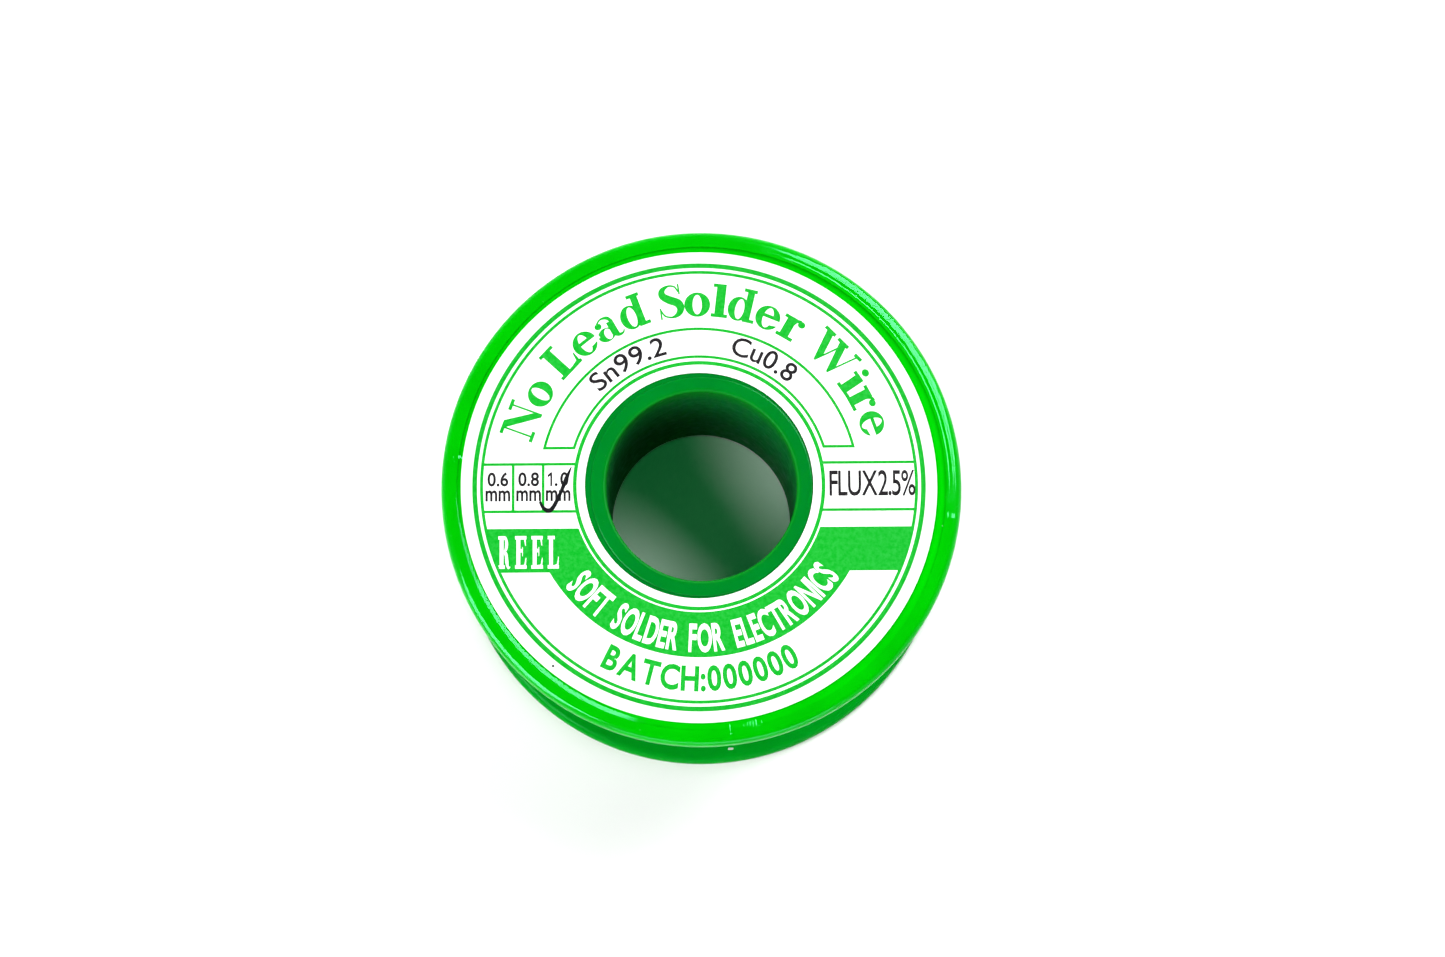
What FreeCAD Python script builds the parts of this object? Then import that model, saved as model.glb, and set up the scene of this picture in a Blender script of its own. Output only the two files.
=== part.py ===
import FreeCAD, Part
import math
import os

# Solder wire spool, lying on its rear flange, in millimetres.
# The origin is on the spool's axis, in the plane the spool rests on. +Z runs along the axis,
# out through the labelled front face, and +Y is the upright direction of the label.

Vector = FreeCAD.Vector
AXIS = Vector(0, 0, 1)

# Overall
TOTAL_HEIGHT = 27.5
FLANGE_RADIUS = 27.4

# Shrink band: a thin clear sleeve that grips both rims
FILM_THICKNESS = 0.08
FILM_LOOSENESS = 0.02
FILM_LIP_RADIUS = 23.3
FILM_STEP_RADIUS = 25.35
FILM_WAIST = 0.5

# Flanges
RIM_THICKNESS = 1.6
RIM_ROUNDING = RIM_THICKNESS / 2
RECESS_RADIUS = 25.75
RECESS_DEPTH = 0.3

# Core tube
BORE_RADIUS = 10.05
CORE_RADIUS = 12.2
SPIGOT_RADIUS = 11.7
CORE_LENGTH = 27.0
BORE_CHAMFER = 0.3
SPIGOT_CHAMFER = 0.12

# Label: stuck on a little off centre
LABEL_RADIUS = 25.04
LABEL_HOLE_RADIUS = 12.02
LABEL_THICKNESS = 0.12
LABEL_OFFSET = Vector(-0.25, 0.1, 0)

# Winding
WIRE_DIAMETER = 1.0
FLUX_DIAMETER = 0.35
FULL_LAYERS = 7
LAST_LAYER_TURNS = 22
WINDING_CLEARANCE = 0.05
ALLOY_DENSITY = 7.31
FLUX_DENSITY = 1.07

# Inner end of the wire: through the rear flange, then flat in a groove
ANCHOR_RADIUS = 13.1
ANCHOR_HOLE_RADIUS = 0.8
ANCHOR_DIRECTION = -60.0
GROOVE_WIDTH = 1.4
GROOVE_DEPTH = 0.8
START_BEND_RADIUS = 1.0
START_TAIL_LENGTH = 4.0
START_DEPTH_IN_GROOVE = 0.05

# Outer end of the wire: a part turn that goes on from the last full one, towards the rear flange
FREE_END_SWEEP = 120.0
FREE_END_EASE = 0.02

# Planes worked out from the sizes above
FILM_STAND_OFF = FILM_THICKNESS + FILM_LOOSENESS
REAR_RIM_Z = FILM_STAND_OFF
FRONT_RIM_Z = TOTAL_HEIGHT - FILM_STAND_OFF
MIDDLE_Z = TOTAL_HEIGHT / 2
LABEL_BACK_Z = FRONT_RIM_Z - RECESS_DEPTH
WINDING_BOTTOM_Z = REAR_RIM_Z + RIM_THICKNESS
WINDING_TOP_Z = FRONT_RIM_Z - RIM_THICKNESS
WIRE_RADIUS = WIRE_DIAMETER / 2
FIRST_TURN_Z = WINDING_BOTTOM_Z + WINDING_CLEARANCE
TURNS_PER_LAYER = int((WINDING_TOP_Z - WINDING_BOTTOM_Z) / WIRE_DIAMETER)
LAST_TURN_RADIUS = CORE_RADIUS + (FULL_LAYERS + 0.5) * WIRE_DIAMETER


def polar(radius, degrees, z=0.0):
    angle = math.radians(degrees)
    return Vector(radius * math.cos(angle), radius * math.sin(angle), z)


def section_point(radius, z):
    """A point of a half section, which is drawn in the XZ plane."""
    return Vector(radius, 0, z)


def line(start, end):
    return Part.LineSegment(start, end).toShape()


def arc(start, middle, end):
    return Part.Arc(start, middle, end).toShape()


def polyline(points):
    return [line(a, b) for a, b in zip(points, points[1:])]


def revolved(edges):
    """The solid of revolution whose half section is bounded by these edges."""
    section = Part.Face(Part.Wire(edges))
    return section.revolve(Vector(0, 0, 0), AXIS, 360)


def sleeve(inner_radius, outer_radius, low_z, high_z):
    height = high_z - low_z
    outer = Part.makeCylinder(outer_radius, height, Vector(0, 0, low_z))
    return outer.cut(Part.makeCylinder(inner_radius, height, Vector(0, 0, low_z)))


def flipped(solid):
    """The same solid, turned over end for end about the spool's middle."""
    turned = solid.copy()
    turned.rotate(Vector(0, 0, MIDDLE_Z), Vector(1, 0, 0), 180)
    return turned


def make_core_tube():
    """A plain tube with a stepped spigot at each end, which the flanges are pressed on to."""
    low = MIDDLE_Z - CORE_LENGTH / 2
    high = MIDDLE_Z + CORE_LENGTH / 2
    outline = [
        section_point(BORE_RADIUS, low + BORE_CHAMFER),
        section_point(BORE_RADIUS + BORE_CHAMFER, low),
        section_point(SPIGOT_RADIUS - SPIGOT_CHAMFER, low),
        section_point(SPIGOT_RADIUS, low + SPIGOT_CHAMFER),
        section_point(SPIGOT_RADIUS, WINDING_BOTTOM_Z),
        section_point(CORE_RADIUS, WINDING_BOTTOM_Z),
        section_point(CORE_RADIUS, WINDING_TOP_Z),
        section_point(SPIGOT_RADIUS, WINDING_TOP_Z),
        section_point(SPIGOT_RADIUS, high - SPIGOT_CHAMFER),
        section_point(SPIGOT_RADIUS - SPIGOT_CHAMFER, high),
        section_point(BORE_RADIUS + BORE_CHAMFER, high),
        section_point(BORE_RADIUS, high - BORE_CHAMFER),
    ]
    return revolved(polyline(outline + outline[:1]))


def make_front_flange():
    """A disc with a bullnose edge and a shallow recess for the label."""
    rounding_centre = FLANGE_RADIUS - RIM_ROUNDING
    top_of_edge = section_point(rounding_centre, FRONT_RIM_Z)
    bottom_of_edge = section_point(rounding_centre, WINDING_TOP_Z)
    middle_of_edge = section_point(FLANGE_RADIUS, FRONT_RIM_Z - RIM_ROUNDING)
    face = [
        bottom_of_edge,
        section_point(SPIGOT_RADIUS, WINDING_TOP_Z),
        section_point(SPIGOT_RADIUS, LABEL_BACK_Z),
        section_point(RECESS_RADIUS, LABEL_BACK_Z),
        section_point(RECESS_RADIUS, FRONT_RIM_Z),
        top_of_edge,
    ]
    return revolved(polyline(face) + [arc(top_of_edge, middle_of_edge, bottom_of_edge)])


def anchor_cut():
    """The hole that the wire's inner end passes through, and the groove that it is bent into."""
    hole = Part.makeCylinder(
        ANCHOR_HOLE_RADIUS, RIM_THICKNESS, Vector(ANCHOR_RADIUS, 0, REAR_RIM_Z)
    )
    groove_floor_z = REAR_RIM_Z + RECESS_DEPTH + GROOVE_DEPTH
    groove_length = START_BEND_RADIUS + START_TAIL_LENGTH + GROOVE_WIDTH / 2
    groove = Part.makeBox(
        groove_length,
        GROOVE_WIDTH,
        groove_floor_z - REAR_RIM_Z,
        Vector(ANCHOR_RADIUS, -GROOVE_WIDTH / 2, REAR_RIM_Z),
    )
    groove_end = Part.makeCylinder(
        GROOVE_WIDTH / 2,
        groove_floor_z - REAR_RIM_Z,
        Vector(ANCHOR_RADIUS + groove_length, 0, REAR_RIM_Z),
    )
    cut = hole.fuse([groove, groove_end]).removeSplitter()
    cut.rotate(Vector(0, 0, 0), AXIS, ANCHOR_DIRECTION)
    return cut


def make_rear_flange():
    """The same disc as the front flange, facing the other way, with the wire's anchor hole."""
    return flipped(make_front_flange()).cut(anchor_cut())


def make_front_label():
    low = Vector(0, 0, LABEL_BACK_Z) + LABEL_OFFSET
    disc = Part.makeCylinder(LABEL_RADIUS, LABEL_THICKNESS, low)
    return disc.cut(Part.makeCylinder(LABEL_HOLE_RADIUS, LABEL_THICKNESS, low))


def film_side(offset):
    """Half of one surface of the band, from its front lip to its waist, offset from what it grips."""
    label_top_z = LABEL_BACK_Z + LABEL_THICKNESS
    edge_centre = section_point(FLANGE_RADIUS - RIM_ROUNDING, FRONT_RIM_Z - RIM_ROUNDING)
    edge_radius = RIM_ROUNDING + offset
    diagonal = edge_radius * math.sqrt(0.5)
    over_edge = edge_centre + Vector(0, 0, edge_radius)
    round_edge = edge_centre + Vector(diagonal, 0, diagonal)
    beside_edge = edge_centre + Vector(edge_radius, 0, 0)
    lip = section_point(FILM_LIP_RADIUS, label_top_z + offset)
    step = section_point(FILM_STEP_RADIUS, label_top_z + offset)
    rim = section_point(RECESS_RADIUS, FRONT_RIM_Z + offset)
    return [lip, step, rim, over_edge], round_edge, beside_edge


def mirrored_point(point):
    return Vector(point.x, point.y, TOTAL_HEIGHT - point.z)


def film_surface(offset):
    """The edges of one surface of the band, from its front lip to its rear lip."""
    face, round_edge, beside_edge = film_side(offset)
    waist = section_point(beside_edge.x - FILM_WAIST, MIDDLE_Z)
    front = polyline(face) + [arc(face[-1], round_edge, beside_edge)]
    side = [arc(beside_edge, waist, mirrored_point(beside_edge))]
    rear_face = [mirrored_point(point) for point in reversed(face)]
    rear_edge = arc(mirrored_point(beside_edge), mirrored_point(round_edge), rear_face[0])
    edges = front + side + [rear_edge] + polyline(rear_face)
    return edges, face[0], rear_face[-1]


def make_shrink_film():
    """A clear sleeve over the winding, shrunk on to both rims and over the label's margin."""
    inner, inner_front, inner_rear = film_surface(FILM_LOOSENESS)
    outer, outer_front, outer_rear = film_surface(FILM_STAND_OFF)
    ends = [line(inner_rear, outer_rear), line(outer_front, inner_front)]
    return revolved(Part.sortEdges(inner + outer + ends)[0])


def turns_in_layer(index):
    return TURNS_PER_LAYER if index < FULL_LAYERS else LAST_LAYER_TURNS


def make_wire_layer(index):
    """One layer of turns, as a sleeve one wire thick. The last one stops short of the rear flange."""
    inner_radius = CORE_RADIUS + index * WIRE_DIAMETER
    high_z = FIRST_TURN_Z + TURNS_PER_LAYER * WIRE_DIAMETER
    low_z = high_z - turns_in_layer(index) * WIRE_DIAMETER
    return sleeve(inner_radius, inner_radius + WIRE_DIAMETER, low_z, high_z)


def swept(path, start, direction, radius):
    section = Part.Wire(Part.Circle(start, direction, radius).toShape())
    return Part.Wire(path).makePipeShell([section], True, False)


def cored_wire(path, start, direction):
    """A length of wire along a path: the alloy around its core, and the core of flux."""
    whole = swept(path, start, direction, WIRE_RADIUS)
    flux = swept(path, start, direction, FLUX_DIAMETER / 2)
    return whole.cut(flux), flux


def make_start_end():
    """The inner end: down through the rear flange and bent outward along its groove."""
    tail_z = REAR_RIM_Z + START_DEPTH_IN_GROOVE + WIRE_RADIUS
    bend_z = tail_z + START_BEND_RADIUS
    diagonal = START_BEND_RADIUS * math.sqrt(0.5)
    top = section_point(ANCHOR_RADIUS, FIRST_TURN_Z)
    bend_start = section_point(ANCHOR_RADIUS, bend_z)
    bend_centre = bend_start + Vector(START_BEND_RADIUS, 0, 0)
    bend_middle = bend_centre + Vector(-diagonal, 0, -diagonal)
    bend_end = bend_centre - Vector(0, 0, START_BEND_RADIUS)
    tail_end = bend_end + Vector(START_TAIL_LENGTH, 0, 0)
    path = [line(top, bend_start), arc(bend_start, bend_middle, bend_end), line(bend_end, tail_end)]
    pieces = cored_wire(path, top, AXIS)
    for piece in pieces:
        piece.rotate(Vector(0, 0, 0), AXIS, ANCHOR_DIRECTION)
    return pieces


def make_free_end():
    """The outer end: part of a turn beside the last full turn, shut in by the band."""
    radius = LAST_TURN_RADIUS + FREE_END_EASE
    empty_turns = TURNS_PER_LAYER - LAST_LAYER_TURNS
    z = FIRST_TURN_Z + (empty_turns - 0.5) * WIRE_DIAMETER - FREE_END_EASE
    start = polar(radius, ANCHOR_DIRECTION, z)
    middle = polar(radius, ANCHOR_DIRECTION + FREE_END_SWEEP / 2, z)
    end = polar(radius, ANCHOR_DIRECTION + FREE_END_SWEEP, z)
    direction = polar(1, ANCHOR_DIRECTION + 90)
    return cored_wire([arc(start, middle, end)], start, direction)


def wire_length_m():
    """The length of the whole winding, in metres."""
    length = 0.0
    for index in range(FULL_LAYERS + 1):
        turn_radius = CORE_RADIUS + (index + 0.5) * WIRE_DIAMETER
        length += turns_in_layer(index) * 2 * math.pi * turn_radius
    length += math.radians(FREE_END_SWEEP) * LAST_TURN_RADIUS
    return length / 1000


def wire_mass_g():
    """The mass of the whole winding, alloy and flux, in grams."""
    flux_area = math.pi * FLUX_DIAMETER**2 / 4
    alloy_area = math.pi * WIRE_DIAMETER**2 / 4 - flux_area
    return wire_length_m() * (alloy_area * ALLOY_DENSITY + flux_area * FLUX_DENSITY)


def make_nodes():
    nodes = {
        "core_tube": make_core_tube(),
        "front_flange": make_front_flange(),
        "rear_flange": make_rear_flange(),
        "front_label": make_front_label(),
        "shrink_film": make_shrink_film(),
    }
    for index in range(FULL_LAYERS + 1):
        nodes[f"wire_layer_{index + 1:02d}"] = make_wire_layer(index)
    nodes["wire_start_end"], nodes["flux_core_start"] = make_start_end()
    nodes["wire_free_end"], nodes["flux_core_end"] = make_free_end()
    return nodes


def main():
    os.makedirs("parts", exist_ok=True)
    for name, shape in make_nodes().items():
        shape.exportStep(os.path.join("parts", f"{name}.step"))
        box = shape.BoundBox
        print(
            f"{name}: {len(shape.Solids)} solid, valid {shape.isValid()}, {shape.Volume:.2f} mm3,"
            f" x {box.XMin:.2f} {box.XMax:.2f}, z {box.ZMin:.2f} {box.ZMax:.2f}"
        )
    print(f"wire: {wire_length_m():.2f} m, {wire_mass_g():.1f} g, start bend {START_BEND_RADIUS} mm")


main()
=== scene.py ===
import functools
import math
import random

import bmesh
import bpy
import numpy as np
from mathutils import Matrix, Vector
from mathutils.geometry import delaunay_2d_cdt


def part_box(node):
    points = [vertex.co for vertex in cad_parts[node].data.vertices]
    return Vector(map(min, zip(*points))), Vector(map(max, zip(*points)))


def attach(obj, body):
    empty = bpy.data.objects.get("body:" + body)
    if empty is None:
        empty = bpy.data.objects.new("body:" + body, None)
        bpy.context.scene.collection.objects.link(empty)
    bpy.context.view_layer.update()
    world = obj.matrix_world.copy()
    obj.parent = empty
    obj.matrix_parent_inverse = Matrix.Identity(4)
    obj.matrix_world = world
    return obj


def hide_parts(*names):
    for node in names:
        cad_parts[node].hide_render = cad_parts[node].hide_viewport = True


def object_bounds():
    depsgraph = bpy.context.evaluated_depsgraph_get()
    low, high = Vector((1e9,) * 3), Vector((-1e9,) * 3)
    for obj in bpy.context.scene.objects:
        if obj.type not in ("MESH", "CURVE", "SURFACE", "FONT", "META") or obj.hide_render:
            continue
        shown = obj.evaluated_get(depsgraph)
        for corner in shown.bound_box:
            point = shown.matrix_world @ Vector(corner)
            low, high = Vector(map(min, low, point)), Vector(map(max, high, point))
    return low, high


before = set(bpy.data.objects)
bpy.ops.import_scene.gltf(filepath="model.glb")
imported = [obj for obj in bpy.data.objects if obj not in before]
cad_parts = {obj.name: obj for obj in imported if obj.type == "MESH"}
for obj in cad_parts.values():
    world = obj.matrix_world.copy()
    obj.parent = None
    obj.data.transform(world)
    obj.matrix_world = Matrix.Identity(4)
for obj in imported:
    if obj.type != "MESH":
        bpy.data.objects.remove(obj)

CAD_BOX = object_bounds()
MM = 0.001

# The spool's sizes, as the CAD model has them
FLANGE_RADIUS = 27.4 * MM
RIM_ROUNDING = 0.8 * MM
RECESS_RADIUS = 25.75 * MM
BORE_RADIUS = 10.05 * MM
SPIGOT_RADIUS = 11.7 * MM
CORE_RADIUS = 12.2 * MM
WIRE_DIAMETER = 1.0 * MM
FULL_LAYERS = 7
TURNS_PER_LAYER = 24
LAST_LAYER_TURNS = 22
ANCHOR_RADIUS = 13.1 * MM
ANCHOR_DIRECTION = -60.0
START_TAIL_LENGTH = 4.0 * MM
START_BEND_RADIUS = 1.0 * MM
FREE_END_SWEEP = 120.0

LABEL_LOW, LABEL_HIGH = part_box("front_label")
LABEL_CENTRE = (LABEL_LOW + LABEL_HIGH) / 2
LABEL_TOP = LABEL_HIGH.z
FIRST_LAYER_LOW, FIRST_LAYER_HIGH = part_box("wire_layer_01")
LOWEST_TURN_Z = FIRST_LAYER_LOW.z + WIRE_DIAMETER / 2
HIGHEST_TURN_Z = FIRST_LAYER_HIGH.z - WIRE_DIAMETER / 2
START_TAIL_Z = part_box("wire_start_end")[0].z + WIRE_DIAMETER / 2
MIDDLE_Z = (CAD_BOX[0].z + CAD_BOX[1].z) / 2


def polar(radius, degrees, z=0.0):
    angle = math.radians(degrees)
    return Vector((radius * math.cos(angle), radius * math.sin(angle), z))


def smooth(t):
    """Goes from 0 to 1 as t does, without a corner at either end."""
    t = min(max(t, 0.0), 1.0)
    return t * t * (3 - 2 * t)


# ---------------------------------------------------------------- camera

CAMERA_AZIMUTH = -3.2
CAMERA_ELEVATION = 80.93
CAMERA_ROLL = 2.78
CAMERA_DISTANCE = 336.5 * MM
CAMERA_LENS_MM = 79.7
AIM_FROM_LABEL = Vector((2.46, 0.67, 0)) * MM


def make_camera():
    data = bpy.data.cameras.new("camera")
    data.lens = CAMERA_LENS_MM
    data.clip_start = 0.01
    data.clip_end = 10
    camera = bpy.data.objects.new("camera", data)
    bpy.context.scene.collection.objects.link(camera)
    azimuth = math.radians(CAMERA_AZIMUTH)
    elevation = math.radians(CAMERA_ELEVATION)
    back = Vector((
        math.sin(azimuth) * math.cos(elevation),
        -math.cos(azimuth) * math.cos(elevation),
        math.sin(elevation),
    ))
    aim = Vector((LABEL_CENTRE.x, LABEL_CENTRE.y, LABEL_TOP)) + AIM_FROM_LABEL
    turn = (-back).to_track_quat("-Z", "Y").to_matrix().to_4x4()
    roll = Matrix.Rotation(math.radians(CAMERA_ROLL), 4, "Z")
    camera.matrix_world = Matrix.Translation(aim + back * CAMERA_DISTANCE) @ turn @ roll
    bpy.context.scene.camera = camera


# ---------------------------------------------------------------- the wire

POINTS_PER_TURN = 48
CROSSOVER_SHARE = 0.14


def turn_position(turn):
    """Radius and height of the winding after so many turns: level turns, each stepping one place
    along in a short crossover, and up to the next layer at the end of each one."""
    layer = min(int(turn // TURNS_PER_LAYER), FULL_LAYERS)
    along = turn - layer * TURNS_PER_LAYER
    place = int(along)
    step = smooth((along - place - 1 + CROSSOVER_SHARE) / CROSSOVER_SHARE)
    climb = 0.0
    if place >= TURNS_PER_LAYER - 1:
        climb = math.sqrt(1 - (1 - step) ** 2)
        step = 0.0
    travelled = (place + step) * WIRE_DIAMETER
    z = LOWEST_TURN_Z + travelled if layer % 2 == 0 else HIGHEST_TURN_Z - travelled
    radius = CORE_RADIUS + (layer + 0.5 + climb) * WIRE_DIAMETER
    return radius, z


def start_route():
    """From the cut end in the rear flange's groove, up through its hole and into the first turn."""
    tail = ANCHOR_RADIUS + START_BEND_RADIUS
    return [
        polar(tail + START_TAIL_LENGTH, ANCHOR_DIRECTION, START_TAIL_Z),
        polar(tail + START_TAIL_LENGTH * 0.6, ANCHOR_DIRECTION, START_TAIL_Z),
        polar(tail + START_TAIL_LENGTH * 0.2, ANCHOR_DIRECTION, START_TAIL_Z),
        polar(ANCHOR_RADIUS, ANCHOR_DIRECTION, START_TAIL_Z),
        polar(ANCHOR_RADIUS, ANCHOR_DIRECTION, (START_TAIL_Z + LOWEST_TURN_Z) / 2),
        polar(ANCHOR_RADIUS, ANCHOR_DIRECTION, LOWEST_TURN_Z),
    ]


def winding_route():
    """The turns, out to the free end. A quadratic spline cuts inside its points, so they stand out."""
    turns = FULL_LAYERS * TURNS_PER_LAYER + LAST_LAYER_TURNS + FREE_END_SWEEP / 360
    stand_out = 1 / math.cos(math.pi / POINTS_PER_TURN)
    route = []
    for i in range(1, int(turns * POINTS_PER_TURN) + 1):
        turn = i / POINTS_PER_TURN
        radius, z = turn_position(turn)
        route.append(polar(radius * stand_out, ANCHOR_DIRECTION + 360 * turn, z))
    return route


def make_wire():
    route = start_route() + winding_route()
    data = bpy.data.curves.new("solder_wire", "CURVE")
    data.dimensions = "3D"
    data.resolution_u = 1
    data.bevel_depth = WIRE_DIAMETER / 2
    data.bevel_resolution = 2
    data.use_fill_caps = True
    spline = data.splines.new("NURBS")
    spline.points.add(len(route) - 1)
    for point, place in zip(spline.points, route):
        point.co = (*place, 1.0)
    spline.order_u = 3
    spline.use_endpoint_u = True
    wire = bpy.data.objects.new("solder_wire", data)
    bpy.context.scene.collection.objects.link(wire)
    data.materials.append(alloy_material())
    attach(wire, "root")
    layers = [f"wire_layer_{i + 1:02d}" for i in range(FULL_LAYERS + 1)]
    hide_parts(*layers, "wire_start_end", "wire_free_end")


# ---------------------------------------------------------------- materials

# The same green plastic looks darker the less light gets into it from behind
BORE_DEPTH_GREEN = (0.0, 0.105, 0.014)
BORE_LIP_GREEN = (0.0, 0.18, 0.004)
HUB_GREEN = (0.0, 0.175, 0.014)
REAR_GREEN = (0.0, 0.28, 0.01)
RIM_GREEN = (0.0, 0.42, 0.0)
# Painted light: the plastic in the recess beside the label is painted brighter than the rim, in place
# of the shade that the recess wall casts there
RECESS_PAINTED_LIGHT_GREEN = (0.0, 0.5, 0.0)
DUST = (0.55, 0.75, 0.6)
# Untinted reflections look too pale on this plastic
REFLECTION_TINT = (0.3, 1.0, 0.7)

# Distances from the axis between which the plastic goes from one colour or polish to the next
FRONT_BRIGHTENS = (12 * MM, 22 * MM)
REAR_BRIGHTENS = (12 * MM, 27 * MM)
RECESS_STARTS = (24.9 * MM, 25.1 * MM)
RECESS_ENDS = (25.6 * MM, 25.8 * MM)
BORE_ENDS = (10.1 * MM, 10.6 * MM)
POLISH_STARTS = (10.1 * MM, 10.4 * MM)
# The same for heights up the bore's wall
LIP_LIGHTENS = (23 * MM, 27.2 * MM)

# Where the Mix node keeps the sockets for colours
MIX_COLOUR_INPUTS = (6, 7)
MIX_COLOUR_OUTPUT = 2


def new_material(name):
    material = bpy.data.materials.new(name)
    material.use_nodes = True
    return material, material.node_tree, material.node_tree.nodes["Principled BSDF"]


def add_node(tree, kind, **values):
    """A new node with its input sockets set, by name with _ for a space, to numbers or linked."""
    node = tree.nodes.new(kind)
    for name, value in values.items():
        socket = node.inputs[name.replace("_", " ")]
        if isinstance(value, bpy.types.NodeSocket):
            tree.links.new(value, socket)
        else:
            socket.default_value = value
    return node


def noise(tree, scale, detail=3.0, roughness=0.5, vector=None):
    if vector is None:
        vector = add_node(tree, "ShaderNodeTexCoord").outputs["Object"]
    node = add_node(
        tree, "ShaderNodeTexNoise", Scale=scale, Detail=detail, Roughness=roughness, Vector=vector
    )
    return node.outputs["Fac"]


def ramp(tree, value, low, high, start=0.0, end=1.0):
    """Maps a value from start..end to low..high."""
    node = add_node(tree, "ShaderNodeMapRange", Value=value)
    node.inputs["From Min"].default_value = start
    node.inputs["From Max"].default_value = end
    node.inputs["To Min"].default_value = low
    node.inputs["To Max"].default_value = high
    return node.outputs["Result"]


def colour_mix(tree, value, low, high, start=0.3, end=0.7):
    node = tree.nodes.new("ShaderNodeValToRGB")
    node.color_ramp.elements[0].position = start
    node.color_ramp.elements[0].color = (*low, 1)
    node.color_ramp.elements[1].position = end
    node.color_ramp.elements[1].color = (*high, 1)
    tree.links.new(value, node.inputs["Fac"])
    return node.outputs["Color"]


def bump(tree, shader, height, distance, strength=1.0):
    node = add_node(tree, "ShaderNodeBump", Height=height, Distance=distance, Strength=strength)
    tree.links.new(node.outputs["Normal"], shader.inputs["Normal"])


def blend(tree, share, low, high):
    """Mixes two colours, or two colour sockets, by a share of the second."""
    node = tree.nodes.new("ShaderNodeMix")
    node.data_type = "RGBA"
    tree.links.new(share, node.inputs["Factor"])
    for index, value in zip(MIX_COLOUR_INPUTS, (low, high)):
        if isinstance(value, bpy.types.NodeSocket):
            tree.links.new(value, node.inputs[index])
        else:
            node.inputs[index].default_value = (*value, 1)
    return node.outputs[MIX_COLOUR_OUTPUT]


def distance_from_axis(tree):
    place = add_node(tree, "ShaderNodeTexCoord").outputs["Object"]
    flat = tree.nodes.new("ShaderNodeVectorMath")
    flat.operation = "MULTIPLY"
    tree.links.new(place, flat.inputs[0])
    flat.inputs[1].default_value = (1, 1, 0)
    length = tree.nodes.new("ShaderNodeVectorMath")
    length.operation = "LENGTH"
    tree.links.new(flat.outputs["Vector"], length.inputs[0])
    return length.outputs["Value"]


def product(tree, first, second):
    node = tree.nodes.new("ShaderNodeMath")
    node.operation = "MULTIPLY"
    tree.links.new(first, node.inputs[0])
    tree.links.new(second, node.inputs[1])
    return node.outputs["Value"]


def plastic_material(name, colour_of, gloss, glow):
    """Moulded, translucent plastic, with soft flow marks, fine texture, small scuffs and specks of
    dust. The faces are polished, and the bore is left matt."""
    material, tree, shader = new_material(name)
    flow = ramp(tree, noise(tree, 140, 2), 0.94, 1.06, 0.3, 0.7)
    streaked = tree.nodes.new("ShaderNodeVectorMath")
    streaked.operation = "SCALE"
    tree.links.new(colour_of(tree), streaked.inputs[0])
    tree.links.new(flow, streaked.inputs["Scale"])
    dust = ramp(tree, noise(tree, 2600, 1), 0, 0.5, 0.8, 0.85)
    colour = blend(tree, dust, streaked.outputs["Vector"], DUST)
    tree.links.new(colour, shader.inputs["Base Color"])
    polish = ramp(tree, distance_from_axis(tree), 0.7, 0.15, *POLISH_STARTS)
    scuffs = ramp(tree, noise(tree, 900, 6, 0.7), 0.8, 1.35, 0.35, 0.65)
    tree.links.new(product(tree, polish, scuffs), shader.inputs["Roughness"])
    shader.inputs["Specular IOR Level"].default_value = gloss
    shader.inputs["Specular Tint"].default_value = (*REFLECTION_TINT, 1)
    shader.inputs["Subsurface Weight"].default_value = 0.5
    shader.inputs["Subsurface Radius"].default_value = (0.05, 1.0, 0.1)
    shader.inputs["Subsurface Scale"].default_value = glow
    bump(tree, shader, noise(tree, 2500, 4), 0.004 * MM)
    return material


def paper_material():
    """Coated label stock: nearly smooth, with the faint mottle of its fibres."""
    material, tree, shader = new_material("label_paper")
    fibres = noise(tree, 1400, 5, 0.6)
    colour = colour_mix(tree, fibres, (0.87, 0.88, 0.87), (0.93, 0.93, 0.92))
    tree.links.new(colour, shader.inputs["Base Color"])
    spread = ramp(tree, noise(tree, 500, 3), 0.38, 0.5)
    tree.links.new(spread, shader.inputs["Roughness"])
    shader.inputs["Specular IOR Level"].default_value = 0.35
    bump(tree, shader, fibres, 0.003 * MM)
    return material


def ink_material(name, thin, thick, scale=2200):
    """Printed ink, a little uneven where the paper took less of it."""
    material, tree, shader = new_material(name)
    mottle = noise(tree, scale, 5, 0.65)
    colour = colour_mix(tree, mottle, thin, thick, 0.36, 0.62)
    tree.links.new(colour, shader.inputs["Base Color"])
    spread = ramp(tree, mottle, 0.25, 0.4)
    tree.links.new(spread, shader.inputs["Roughness"])
    shader.inputs["Specular IOR Level"].default_value = 0.15
    bump(tree, shader, mottle, 0.001 * MM)
    return material


def alloy_material():
    """Bright drawn tin alloy: die lines along the wire and patches of dull oxide."""
    material, tree, shader = new_material("solder_alloy")
    place = add_node(tree, "ShaderNodeTexCoord").outputs["Object"]
    dull = noise(tree, 260, 4, 0.6)
    colour = colour_mix(tree, dull, (0.60, 0.61, 0.63), (0.80, 0.80, 0.81))
    tree.links.new(colour, shader.inputs["Base Color"])
    shader.inputs["Metallic"].default_value = 1.0
    lines = add_node(tree, "ShaderNodeMapping", Vector=place, Scale=(0.15, 0.15, 3.0))
    drawn = noise(tree, 3000, 3, 0.6, lines.outputs["Vector"])
    spread = ramp(tree, drawn, 0.2, 0.42, 0.3, 0.7)
    tree.links.new(spread, shader.inputs["Roughness"])
    bump(tree, shader, drawn, 0.004 * MM)
    return material


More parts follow.
